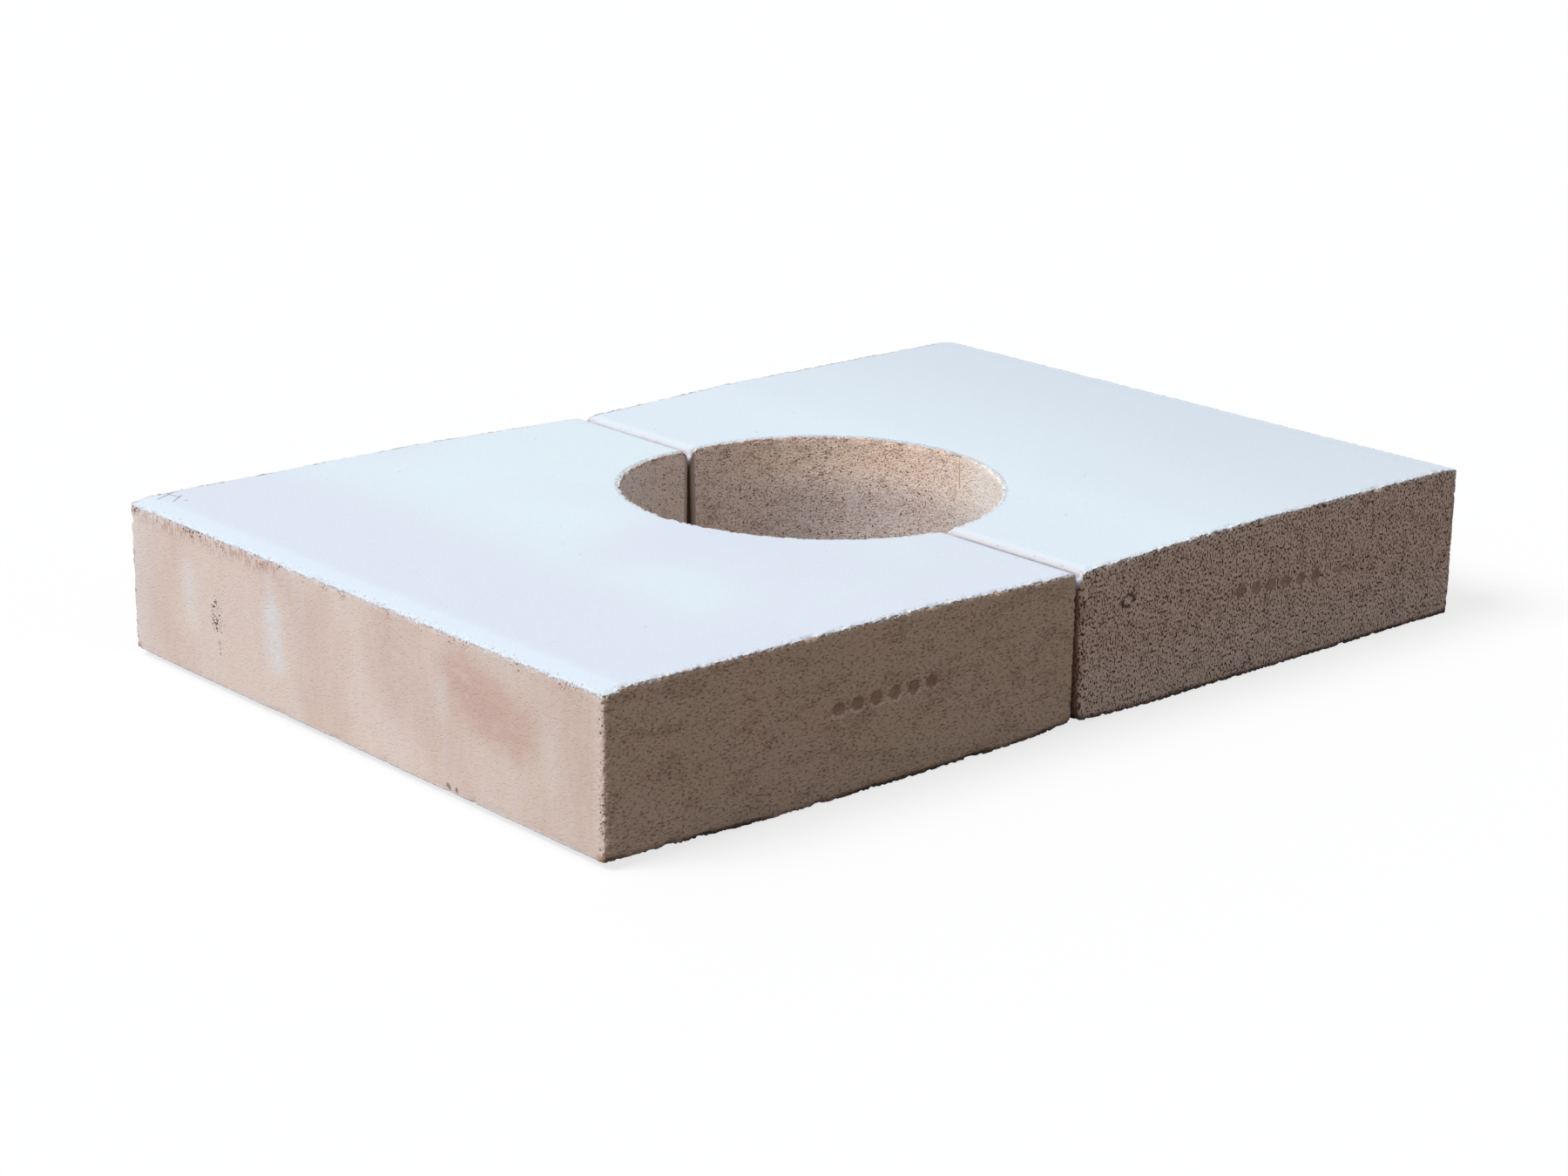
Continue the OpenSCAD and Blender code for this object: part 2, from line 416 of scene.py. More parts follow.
def half_shape(sizes, half):
    """Points, faces and point values of one half: the outer end at u = 0, the depth centred on v = 0."""
    outline, normals, faces = plan_outline(sizes)
    count = len(outline)
    weight = {face: smooth_round((faces == face).astype(float), passes=3) for face in FACES}
    rim_radius = {FRONT: 1.2 * MM, JOINT: 1.2 * MM, NOTCH: sizes.rim_round, BACK: 1.8 * MM, END: 0.9 * MM}
    foot_radius = {FRONT: 2 * MM, JOINT: 1.5 * MM, NOTCH: 1.2 * MM, BACK: 2 * MM, END: 1 * MM}
    rim = smooth_round(sum(weight[f] * rim_radius[f] for f in FACES))
    foot = smooth_round(sum(weight[f] * foot_radius[f] for f in FACES))

    def rounding(cap_height, radius, upwards):
        """Rows of points from a cap's edge to the wall."""
        made = []
        for bend in np.radians(np.linspace(90, 0, BEND_ROWS)):
            place = outline - normals * (radius * (1 - math.cos(bend)))[:, None]
            height = cap_height(sizes, half, place[:, 0]) + upwards * radius * (1 - math.sin(bend))
            made.append(np.column_stack([place, height]))
        return made

    top_rows, foot_rows = rounding(top_height, rim, -1), rounding(bed_height, foot, 1)
    fine = np.arange(FINE_ROWS + 1) / FINE_ROWS_PER_WALL
    shares = np.concatenate([fine, np.linspace(fine[-1], 1, LOWER_ROWS + 1)[1:]])
    wall_rows = [(1 - s) * top_rows[-1] + s * foot_rows[-1] for s in shares[1:-1]]
    rows = np.array(top_rows + wall_rows + foot_rows[::-1])

    corner_at = np.array([[0, -1], [1, -1], [1, 1], [0, 1]]) * [sizes.half_length, sizes.depth / 2]
    to_corner = np.min([np.hypot(*(outline - c).T) for c in corner_at], 0)

    top_net = cap_points(sizes, rim.max(), TOP_NET)
    bed_net = cap_points(sizes, foot.max(), BED_NET)
    top_triangles = cap_triangles(rows[0, :, :2], top_net)
    bed_triangles = cap_triangles(rows[-1, :, :2], bed_net)

    ring = np.arange(count)
    after = np.roll(ring, -1)
    first_wall = np.stack([ring + count, after + count, after, ring], -1)
    walls = [first_wall + row * count for row in range(len(rows) - 1)]
    on_walls = rows.size // 3
    last_row = on_walls - count
    bed_start = on_walls + len(top_net)
    top_faces = np.where(top_triangles < count, top_triangles, top_triangles - count + on_walls)
    bed_faces = np.where(bed_triangles < count, bed_triangles + last_row, bed_triangles - count + bed_start)
    top_points = np.column_stack([top_net, top_height(sizes, half, top_net[:, 0])])
    bed_points = np.column_stack([bed_net, bed_height(sizes, half, bed_net[:, 0])])
    points = np.concatenate([rows.reshape(-1, 3), top_points, bed_points])

    def everywhere(walls, top, bed):
        """One value for each point: of the walls, then the top's net, then the bed's net."""
        tops, beds = (np.broadcast_to(v, len(net)) for v, net in ((top, top_net), (bed, bed_net)))
        return np.concatenate([np.ravel(walls), tops, beds])

    inside_top, inside_bed = plan_depth(sizes, *top_net.T), plan_depth(sizes, *bed_net.T)
    depth = everywhere(np.zeros(on_walls), inside_top, inside_bed)
    sunk = everywhere(rows[0, :, 2] - rows[:, :, 2], 0, FAR)
    raised = everywhere(rows[:, :, 2] - rows[-1, :, 2], FAR, 0)
    run = np.hypot(*(rows - rows[0])[:, :, :2].transpose(2, 0, 1)) + rows[0, :, 2] - rows[:, :, 2]
    engobe = sum(weight[f] * ENGOBE_REACH[f] for f in FACES) * MM - run
    values = {
        "engobe": everywhere(engobe, inside_top - sizes.rim_round, BARE),
        "rim": np.hypot(depth, sunk),
        "foot": np.hypot(depth, raised),
        "corner": everywhere(np.tile(to_corner, len(rows)), FAR, FAR),
        "top": everywhere(np.clip(engobe / MM + 0.5, 0, 1), 1, 0),
    }
    for name, face in (("end", END), ("notch", NOTCH), ("joint", JOINT), ("front", FRONT)):
        values[name] = everywhere(np.tile(weight[face], len(rows)), 0, 0)

    upward = np.clip((points[:, 2] - UPPER_PART) / MM, 0, 1)
    to_joint, past_bevel = sizes.half_length - points[:, 0], points[:, 0] - sizes.bevel_width
    values["lip"] = upward * np.clip(1 - to_joint / half.lip_width, 0, 1)
    values["bevel"] = upward * np.clip(0.5 - past_bevel / BEVEL_BLUR, 0, 1)

    near_joint = np.clip(1 - to_joint / DRAFT_REACH, 0, 1)
    joint_top = sizes.thickness - sizes.fall_drop - half.lip_drop
    below_lip = np.clip(1 - points[:, 2] / joint_top, 0, 1)
    points[:, 0] -= half.draft * below_lip * near_joint**2 * (3 - 2 * near_joint)
    return points, [*walls, top_faces, bed_faces[:, ::-1]], values


def half_object(name, sizes, half, mirrored):
    """Mesh object of one half in its place, before its relief."""
    points, parts, values = half_shape(sizes, half)
    outer = sizes.half_length + sizes.gap / 2
    points[:, 0] = outer - points[:, 0] if mirrored else points[:, 0] - outer
    polygons = [p[:, ::-1] if mirrored else p for p in parts]
    mesh = bpy.data.meshes.new(name)
    mesh.vertices.add(len(points))
    mesh.vertices.foreach_set("co", points.astype(np.float32).ravel())
    corners = np.concatenate([p.ravel() for p in polygons])
    lengths = np.concatenate([np.full(len(p), p.shape[1]) for p in polygons])
    mesh.loops.add(len(corners))
    mesh.loops.foreach_set("vertex_index", corners.astype(np.int32))
    mesh.polygons.add(len(lengths))
    mesh.polygons.foreach_set("loop_start", (np.cumsum(lengths) - lengths).astype(np.int32))
    mesh.polygons.foreach_set("use_smooth", np.ones(len(lengths), bool))
    mesh.update(calc_edges=True)
    mesh.validate()
    for key, data in values.items():
        mesh.attributes.new(key, "FLOAT", "POINT").data.foreach_set("value", data.astype(np.float32))
    made = bpy.data.objects.new(name, mesh)
    bpy.context.scene.collection.objects.link(made)
    return made


# ------------------------------ relief

RELIEF = "Fired Clay Relief"
# Pattern sizes of the relief, in features per metre
WARP_WAVES, RELIEF_GRAIN, CRUMBS, BITES, BOWL_WAVES = 11, 260, 470, 85, 110
# How far the ridge under a dimple stands out, as a share of the dimple's depth
RIDGE_SHARE = 0.2
WEAR_SIZES = ("Warp", "Grain Depth", "Chip Depth")
DIMPLE_SIZES = tuple(f"Dimple {name}" for name in ("Count", "Pitch", "Width", "Depth", "Height"))


def relief_tree():
    """Geometry nodes that wear a smooth half: slow warp, grain, broken arrises and a row of dimples.
    The tree leaves the values chip, dimple and ridge on the points for the finish."""
    tree = bpy.data.node_groups.new(RELIEF, "GeometryNodeTree")
    socket = tree.interface.new_socket
    socket("Geometry", in_out="INPUT", socket_type="NodeSocketGeometry")
    for name in (*WEAR_SIZES, "Row Centre", "Row Slope", *DIMPLE_SIZES, "Seed"):
        socket(name, in_out="INPUT", socket_type="NodeSocketFloat")
    socket("Finish", in_out="INPUT", socket_type="NodeSocketMaterial")
    socket("Geometry", in_out="OUTPUT", socket_type="NodeSocketGeometry")
    given = tree.nodes.new("NodeGroupInput")
    asked = {s.name: Wire(tree, s) for s in given.outputs if s.name}

    place = node(tree, "GeometryNodeInputPosition")
    seed, pitch = asked["Seed"], asked["Dimple Pitch"]
    seeded = vector(tree, "ADD", place, joined(tree, seed * 1.7, seed * 2.3, seed))
    x, z = part(tree, place, 0), part(tree, place, 2)
    rim, foot, corner, top, end, front = (
        node(tree, "GeometryNodeInputNamedAttribute", {"data_type": "FLOAT"}, {"Name": name})
        for name in ("rim", "foot", "corner", "top", "end", "front")
    )

    # slow warp of every face, and grain that is strong on the cut faces and faint on the top and end
    warp = (noise(tree, seeded, WARP_WAVES, 1) - 0.5) * asked["Warp"] * 2
    cut = (1 - top) * (1 - end * 0.8)
    coarse = noise(tree, seeded, RELIEF_GRAIN, 2, 0.6) - 0.5
    grain = coarse * asked["Grain Depth"] * (cut * 0.9 + 0.1) * 2

    # bits broken off the arrises: a ragged line of small ones, and a few larger ones
    crumbs = noise(tree, seeded, CRUMBS, 2, 0.6).ramp(0.4, 0.7)
    bites = noise(tree, seeded, BITES, 2).ramp(0.58, 0.68)
    by_rim = rim.ramp(0.6 * MM, 2.8 * MM, 1, 0) * (1 - end * 0.4)
    by_foot = foot.ramp(0.6 * MM, 4.2 * MM, 1, 0) * (1 - end * 0.8)
    by_corner = corner.ramp(1.4 * MM, 5 * MM, 0.6, 0) * (1 - top)
    edge = by_rim.most(by_foot).most(by_corner)
    chip = edge * (crumbs * 0.75 + bites * 0.8)

    # dimples: the nearest place of the row, then an oval bowl around it with a low ridge below
    along = (x - asked["Row Centre"]) / pitch
    half_row = (asked["Dimple Count"] - 1) * 0.5
    nearest = (along + half_row).math("ROUND").most(0).least(half_row * 2) - half_row
    from_side = (along - nearest) * pitch
    row_height = asked["Dimple Height"] + nearest * pitch * asked["Row Slope"].math("TANGENT")
    from_row = (z - row_height) * 1.12
    half_width = asked["Dimple Width"] * 0.5
    uneven = noise(tree, seeded, BOWL_WAVES, 1) * 0.9 + 0.55
    reach = (from_side * from_side + from_row * from_row) / half_width.power(2) * uneven
    dimple = reach.ramp(0.1, 1.1, 1, 0) * front
    below = from_row.ramp(-3 * MM, -MM, 1, 0)
    ridge = reach.ramp(0.8, 1.2) * reach.ramp(1.4, 2.2, 1, 0) * below * front

    bowl = (dimple - ridge * RIDGE_SHARE) * asked["Dimple Depth"]
    depth = warp + grain + chip * asked["Chip Depth"] + bowl
    normal = node(tree, "GeometryNodeInputNormal")
    inwards = node(tree, "ShaderNodeVectorMath", {"operation": "SCALE"}, {0: normal, "Scale": depth * -1})

    geometry = asked["Geometry"]
    for name, value in (("chip", chip), ("dimple", dimple), ("ridge", ridge)):
        stored = {"Geometry": geometry, "Name": name, "Value": value}
        geometry = node(tree, "GeometryNodeStoreNamedAttribute", None, stored)
    finish = {"Material": asked["Finish"]}
    steps = {"SetPosition": {"Offset": inwards}, "RealizeInstances": {}, "SetMaterial": finish}
    for kind, inputs in steps.items():
        geometry = node(tree, f"GeometryNode{kind}", None, {"Geometry": geometry, **inputs})
    tree.links.new(geometry.socket, tree.nodes.new("NodeGroupOutput").inputs["Geometry"])
    return tree


def worn(made, tree, inputs):
    """Runs the relief tree on an object and leaves its result as a plain mesh."""
    modifier = made.modifiers.new("Relief", "NODES")
    modifier.node_group = tree
    for item in tree.interface.items_tree:
        if item.in_out == "INPUT" and item.name in inputs:
            modifier[item.identifier] = inputs[item.name]
    graph = bpy.context.evaluated_depsgraph_get()
    dressed = made.evaluated_get(graph)
    mesh = bpy.data.meshes.new_from_object(dressed, preserve_all_data_layers=True, depsgraph=graph)
    made.modifiers.remove(modifier)
    smooth_blank, made.data = made.data, mesh
    bpy.data.meshes.remove(smooth_blank)
    mesh.name = made.name


# ------------------------------ finish

# Pattern sizes of the finish, in features per metre
FINE_GRAIN, SPECK, COARSE_SPECK, TOP_SPECK, PATCH, TORN_EDGE = 700, 1000, 420, 260, 150, 850
CLOUD, RUSSET_CLOUD, BLUSH_CLOUD, VEIL, RUST = 22, 26, 18, 6, 40
STREAK, BRUSHING, SCRATCH, SCRATCHED_AREA = 45, 200, 750, 16
HOLLOWED_RIM, CRUMBLED_ARRIS = 45, 55
# Steps along y: from the opening's front, where its wall takes painted light, towards its back, and past the
# opening
LIT_SIDE = (-40 * MM, 15 * MM)
PAST_OPENING = (90 * MM, 120 * MM)
# Height that the finish's grain seems to have
GRAIN_BUMP = 0.7 * MM


class Clay:
    """What the finish of one half reads at each point: its place, carried values and shared patterns."""

    values = "rim foot corner end notch joint front chip dimple ridge lip bevel engobe".split()

    def __init__(self, tree, sizes, finish, half):
        self.tree, self.sizes, self.finish, self.half = tree, sizes, finish, half
        place = node(tree, "ShaderNodeTexCoord", None, None, "Object")
        self.x, self.y, self.z = (part(tree, place, axis) for axis in range(3))
        for name in self.values:
            settings = {"attribute_type": "GEOMETRY", "attribute_name": name}
            setattr(self, name, node(tree, "ShaderNodeAttribute", settings, None, "Fac"))
        self.seeded = vector(tree, "ADD", place, (half.seed * 1.3, half.seed * 0.7, half.seed * 2.1))
        # the grain is drawn out lengthways on the front, and less so in the opening
        along = self.notch * (0.5 * half.streaking - 0.1) + (1 - 0.5 * half.streaking)
        upward = self.notch * (0.75 - 0.35 * half.streaking) + (0.65 + 0.35 * half.streaking)
        self.drawn_out = vector(tree, "MULTIPLY", self.seeded, joined(tree, along, along, upward))
        self.fine = noise(tree, self.drawn_out, FINE_GRAIN, 2, 0.7)
        self.patches = noise(tree, self.drawn_out, PATCH, 3, 0.7)
        self.clouds = noise(tree, self.seeded, CLOUD, 2)
        self.between_grains = self.fine.ramp(0.38, 0.5, 1, 0)

    def random(self, *settings):
        """Noise that isn't drawn out."""
        return noise(self.tree, self.seeded, *settings)

    def stretched(self, scale, shift=(0, 0, 0)):
        """Place in a pattern that is drawn out along some axes."""
        return vector(self.tree, "MULTIPLY_ADD", self.seeded, scale, shift)

    def colour(self, given):
        """A wire as it is, or the finish's colour of that name."""
        return given if isinstance(given, Wire) else (*getattr(self.finish, given), 1)

    def laid(self, ground, *layers):
        """Colours laid over a ground one after another, each with its share.
        A Mix node takes colours at its sockets 6 and 7, and gives one at its output 2."""
        for share, colour in layers:
            inputs = {0: share, 6: self.colour(ground), 7: self.colour(colour)}
            ground = node(self.tree, "ShaderNodeMix", {"data_type": "RGBA"}, inputs, output=2)
        return ground


def specks(grains, level):
    """Irregular specks where a fine noise lies under a level."""
    return (grains - level).ramp(-0.04, 0.02, 1, 0)


def rub(across, up, first, second, width):
    """Soft streak from one point to another, from the two measures that the points are given in."""
    run = (second[0] - first[0], second[1] - first[1])
    size = run[0] ** 2 + run[1] ** 2
    from_first = across - first[0], up - first[1]
    share = ((from_first[0] * run[0] + from_first[1] * run[1]) / size).most(0).least(1)
    off = from_first[0] - share * run[0], from_first[1] - share * run[1]
    return ((off[0] * off[0] + off[1] * off[1]).power(0.5) / width).ramp(0.1, 1, 1, 0)


def stamped(across, up):
    """Broken ring around a place: two dark arcs and the pale hub between, from distances in half widths."""
    reach = (across * across + up * up).power(0.5)
    band = reach.ramp(0.5, 0.85) * reach.ramp(1.0, 1.4, 1, 0)
    return band * (across * up).ramp(-0.5, -0.1), reach.ramp(0.3, 0.75, 1, 0)


def open_ground(clay):
    """Ground of the cut faces outside the opening: warm, with olive and russet clouds, and painted light
    towards the bed.
    """
    half, patches = clay.half, clay.patches
    other_clouds = noise(clay.tree, clay.stretched((1, 1, 1), (3, 5, 7)), RUSSET_CLOUD, 2)
    return clay.laid(
        "body",
        (clay.clouds.ramp(0.4, 0.56) * (0.2 + 0.45 * half.streaking), "olive"),
        (other_clouds.ramp(0.5, 0.66) * 0.35, "russet"),
        (half.pitting, "body_light"),
        (clay.between_grains * 0.55, "body_dark"),
        (patches.ramp(0.5, 0.62) * 0.5, "body_dark"),
        # painted light: lighter towards the bed, against the shade low on the faces
        (clay.z.ramp(6 * MM, 42 * MM, 0.5 * half.pitting, 0), "end"),
    )


def opening_wall(clay, lit_side, lit_parts, heat):
    """Wall of the opening: painted light (paler clay, fewer crumbs) where it is lit, painted shade (more dark
    grain) where it is not and greyer low down, warm high up, and crumbly along its upper rim.
    """
    x, z, patches = clay.x, clay.z, clay.patches
    # painted shade: more dark grain where the wall is out of the light
    shaded_grain = (1 - lit_parts * 0.8) * (0.48 - 0.35 * clay.half.streaking) * x.ramp(70 * MM, 92 * MM, 1, 0.6)
    crumbly = clay.rim.ramp(0.5 * MM, 3.5 * MM, 1, 0) * patches.ramp(0.4, 0.55, 0.3, 0.9)
    return clay.laid(
        "notch",
        # painted light: paler where the wall is lit
        (lit_parts * 0.95, "pale"),
        # painted shade: greyer low in the opening
        (z.ramp(45 * MM, 66 * MM, 0.4, 0) * x.ramp(20 * MM, 70 * MM), "shade_grey"),
        (heat * clay.clouds.ramp(0.35, 0.6, 0.35, 0.9), "scorch"),
        (clay.between_grains * shaded_grain, "body"),
        (patches.ramp(0.5, 0.66) * shaded_grain, "russet"),
        (crumbly * (1 - lit_side), "russet"),
    )


def cut_faces(clay):
    """Colour of the cut faces, with their iron, dimples, grog, pits and broken bits, painted shade along the
    foot and on the joint face, and a painted highlight on the ridge under each dimple.
    Gives the small pits too, for the bump."""
    tree, half, notch, foot = clay.tree, clay.half, clay.notch, clay.foot
    # painted light: the parts of the opening's wall taken as lit, the right half's towards the front and the
    # left half's far tip
    lit_side = clay.y.ramp(*LIT_SIDE, 1, 0)
    lit_parts = lit_side.most(clay.x.ramp(-78 * MM, -10 * MM, 1, 0))
    heat = clay.z.ramp(52 * MM, 72 * MM) * clay.x.ramp(0, 60 * MM) * (1 - lit_parts)
    rust = clay.random(RUST, 2).ramp(0.68, 0.8) * foot.ramp(0, 12 * MM, 1, 0.2)
    bowl = clay.dimple.ramp(0.02, 0.3)

    crowding = (clay.patches - 0.5) * (0.2 - 0.12 * half.pitting)
    level = crowding + notch * (0.04 - 0.12 * half.pitting) + (0.34 + 0.12 * half.pitting)
    grains = noise(tree, clay.drawn_out, SPECK, 1)
    small = specks(grains, level)
    large = specks(noise(tree, clay.drawn_out, COARSE_SPECK, 1), 0.31) * (1 - notch)
    plain = 1 - clay.dimple.ramp(0.04, 0.3) * 0.85
    pit = small.most(large) * plain * (0.22 + 0.9 * half.pitting)
    grog = (grains + level).ramp(0.99, 1.05)
    # fewer specks and pits where the opening's wall is lit: painted light
    in_wall = small * notch * (0.88 - lit_side * 0.62) * (0.8 + 0.3 * half.pitting)
    deep = specks(grains, level - 0.07) * notch * (1 - lit_side * 0.75) * (1 - heat * 0.8)

    broken = clay.chip.ramp(0.1, 0.5) * clay.corner.ramp(1.5 * MM, 8 * MM, 1, 0)
    # painted shade along the rounded edge of the bed, in patches
    foot_shade = foot.ramp(1.6 * MM, 4 * MM, 1, 0) * clay.clouds.ramp(0.4, 0.55, half.pitting, 1)
    body = clay.laid(
        open_ground(clay),
        (notch, opening_wall(clay, lit_side, lit_parts, heat)),
        (rust * 0.5, "iron"),
        (bowl * 0.45, "seam"),
        (bowl * 0.15, "pit"),
        # painted highlight on the ridge under each dimple
        (clay.ridge * 0.45, "end"),
        (grog * plain * 0.35, "body_light"),
        (pit * (1 - notch), "pit"),
        (in_wall, "seam"),
        (deep * 0.75, "pit"),
        (broken * 0.6 * (1 - notch) * (1 - clay.joint), "body_light"),
        # painted shade on the joint face, in the gap between the halves
        (clay.joint.ramp(0.6, 1) * (1 - notch) * 0.8, "seam"),
        (foot_shade * 0.85, "foot_shade"),
    )
    return body, small


def outer_end(clay):
    """Colour of the smooth outer end, cloudy and rubbed pale in upright streaks. Gives its hollows too."""
    tree, y, rim, corner = clay.tree, clay.y, clay.rim, clay.corner
    upright = clay.stretched((1, 1, 0.3))
    blush = noise(tree, clay.stretched((1, 1, 0.7)), BLUSH_CLOUD, 3)
    scratches = noise(tree, upright, SCRATCH, 2).ramp(0.45, 0.58)
    scratches = scratches * clay.random(SCRATCHED_AREA, 1).ramp(0.4, 0.55)
    scratches = scratches * rim.ramp(3 * MM, 13 * MM, 1, 0) * y.ramp(-0.05, 0.1, 0.15, 0.6)
    arris = corner.ramp(5 * MM, 9 * MM, 1, 0) * y.ramp(-0.1, 0, 1, 0)
    smooth = clay.laid(
        "end",
        (y.ramp(-0.2, -0.05, 0.55, 0), "end_shade"),
        (blush.ramp(0.4, 0.7) * 0.45, "end_blush"),
        (noise(tree, upright, STREAK, 3).ramp(0.45, 0.7) * 0.2, "bloom_and_painted_light"),
        (noise(tree, upright, BRUSHING, 3).ramp(0.42, 0.7) * 0.12, "bloom_and_painted_light"),
        (clay.fine.ramp(0.55, 0.75) * 0.12, "body_dark"),
        (scratches, "russet"),
        (arris * clay.fine.ramp(0.45, 0.55, 0, 0.6), "end"),
        # greyer along the upper arris of the end
        (rim.ramp(1.2 * MM, 2.6 * MM, 0.4, 0), "shade_grey"),
        (y.ramp(0.165, 0.195, 0, 0.4), "bloom_and_painted_light"),
    )
    by_rim = rim.ramp(3 * MM, 9 * MM, 1, 0) * clay.random(HOLLOWED_RIM, 2).ramp(0.44, 0.58)
    by_rim = by_rim * y.ramp(-0.15, 0.05, 0.7, 1)
    by_corner = corner.ramp(2.5 * MM, 5.5 * MM, 0.9, 0) * clay.patches.ramp(0.38, 0.58, 0.2, 1)
    return smooth, by_rim.most(by_corner)


def with_marks(clay, marks, body, smooth, hollows):
    """Adds the marks of one half to its cut faces and outer end. Gives them, and the scuffs of its top.
    A mark has its kind, two points, a width and a strength. A ring has its middle and its size."""
    x, y, z, front = clay.x, clay.y, clay.z, clay.front
    tints = {"bloom": "bloom_and_painted_light", "blush": "end_blush", "chip": "pit"}
    scuff = 0.0
    for kind, first, second, width, strength in marks:
        if kind == "ring":
            arcs, hub = stamped((x - first[0]) / (second[0] / 2), (z - first[1]) / (second[1] / 2))
            body = clay.laid(body, (hub * front * 0.5, "body_light"))
            body = clay.laid(body, (arcs * front * strength, "pit"))
        elif kind == "crack":
            line = rub(y, z, first, second, width) * clay.notch * x.ramp(0, MM)
            body = clay.laid(body, (line * strength, "iron"))
        elif kind == "scuff":
            scuff = rub(x, y, first, second, width) * strength + scuff
        elif kind == "pits":
            hollows = hollows.most(rub(y, z, first, second, width) * strength)
        else:
            mark = rub(y, z, first, second, width) * strength
            smooth = clay.laid(smooth, (mark * clay.patches.ramp(0.3, 0.6, 0.5, 0.9), tints[kind]))

    spots = clay.random(SPECK, 1)
    iron = clay.foot.ramp(1 * MM, 6 * MM, 0.8, 0) * clay.corner.ramp(3 * MM, 8 * MM, 1, 0)
    smooth = clay.laid(
        smooth,
        # painted light: paler on the end's lower rounding, against its shade
        (clay.foot.ramp(0.3 * MM, 2.4 * MM, 0.8, 0), "bloom_and_painted_light"),
        (iron, "iron"),
        (specks(spots, hollows * 0.27 + 0.18), "seam"),
        (specks(spots, hollows * 0.27 + 0.12), "pit"),
    )
    return body, smooth, scuff


def top_face(clay, scuff):
    """Colour of the top: white engobe tinted blue by painted cool skylight, with lilac clouds, thick on the
    bevel and thin over the lip, and painted shade where its light falls off and in the gap under the lip.
    Crumbs lie along the back arris and around the right of the opening."""
    tree, half, x, y, lip = clay.tree, clay.half, clay.x, clay.y, clay.lip
    from_joint, from_middle = x.absolute(), y.absolute()
    veil = clay.random(VEIL, 1).ramp(0.35, 0.65, 0, 0.3 + 0.7 * half.streaking)
    veil = veil.most(from_joint.ramp(0.15, 0.24) * (0.1 + 0.8 * half.streaking))
    veil = veil.most(y.ramp(-0.19, -0.1, 0.8 * half.streaking, 0))
    # painted shade: the top greys where its light falls off, towards the outer end and by the joint
    falloff = from_joint.ramp(0.02, 0.3).most(from_joint.ramp(0.06, 0.12, 0.15, 0)) * half.top_falloff
    thin = noise(tree, clay.drawn_out, COARSE_SPECK, 2).ramp(0.56, 0.8)
    white = clay.laid(
        "top",
        (veil, "top_shade"),
        (falloff, "falloff_grey"),
        (clay.bevel, "bevel"),
        (thin * 0.1, "body_light"),
        (specks(clay.random(TOP_SPECK, 1), 0.2) * 0.5, "body_dark"),
    )
    if scuff:
        white = clay.laid(white, (scuff * clay.patches.ramp(0.35, 0.5) * 0.65, "pit"))

    opening, edge = clay.sizes.opening, clay.sizes.depth / 2
    by_rim = ((x * x + y * y).power(0.5) - opening).ramp(MM, 4 * MM, 1, 0) * x.ramp(0.02, 0.08)
    crumbled = y.ramp(0.195, 0.1975).most(by_rim * 0.5)
    crumbled = crumbled * clay.random(CRUMBLED_ARRIS, 2).ramp(0.42, 0.52)
    along_joint = (from_middle - opening).ramp(MM, 8 * MM) * (from_middle - edge).ramp(-8 * MM, -MM, 1, 0)
    return clay.laid(
        white,
        (crumbled * clay.fine.ramp(0.42, 0.52) * 0.75, "seam"),
        (lip.ramp(0.1, 0.6) * y.ramp(*PAST_OPENING, 1, 0.6), "lip"),
        # painted shade: greyer low on the lip and down the joint face, in the gap between the halves
        (lip.ramp(0.6, 0.82) * along_joint * y.ramp(*PAST_OPENING, 1, 0.5), "shade_grey"),
        (clay.joint * clay.engobe.ramp(0.5 * MM, 3 * MM, 0.8, 0), "shade_grey"),
    )


def clay_material(name, sizes, finish, half, marks):
    """Fired clay: white engobe on the top, a smooth outer end, and grainy pitted faces elsewhere."""
    made = bpy.data.materials.new(name)
    made.use_nodes = True
    tree = made.node_tree
    clay = Clay(tree, sizes, finish, half)
    fine, engobe = clay.fine, clay.engobe
    body, small = cut_faces(clay)
    body, smooth, scuff = with_marks(clay, marks, body, *outer_end(clay))
    white = top_face(clay, scuff)

    torn = (clay.random(TORN_EDGE, 2, 0.6) - 0.5) * 13 * MM
    covered = engobe + torn * engobe.ramp(1.5 * MM, 5 * MM, 1, 0) - clay.chip * MM
    at_end = (clay.end + (fine - 0.5) * 1.2).ramp(0.42, 0.58)
    surface = clay.laid(body, (at_end, smooth), (covered.ramp(-0.12 * MM, 0.12 * MM), white))

    cut = engobe.ramp(-MM, MM, 1, 0) * (1 - clay.end * 0.85)
    height = (fine * 0.9 + clay.patches * 0.5 - small * 0.8) * (cut * 0.92 + 0.08)
    relief = {"Strength": 1.0, "Distance": GRAIN_BUMP, "Height": height}
    shader = tree.nodes["Principled BSDF"].inputs
    tree.links.new(surface.socket, shader["Base Color"])
    tree.links.new(node(tree, "ShaderNodeBump", None, relief).socket, shader["Normal"])
    tree.links.new((cut * 0.1 + 0.82).socket, shader["Roughness"])
    shader["Specular IOR Level"].default_value = 0.25
    return made


# ------------------------------ operators


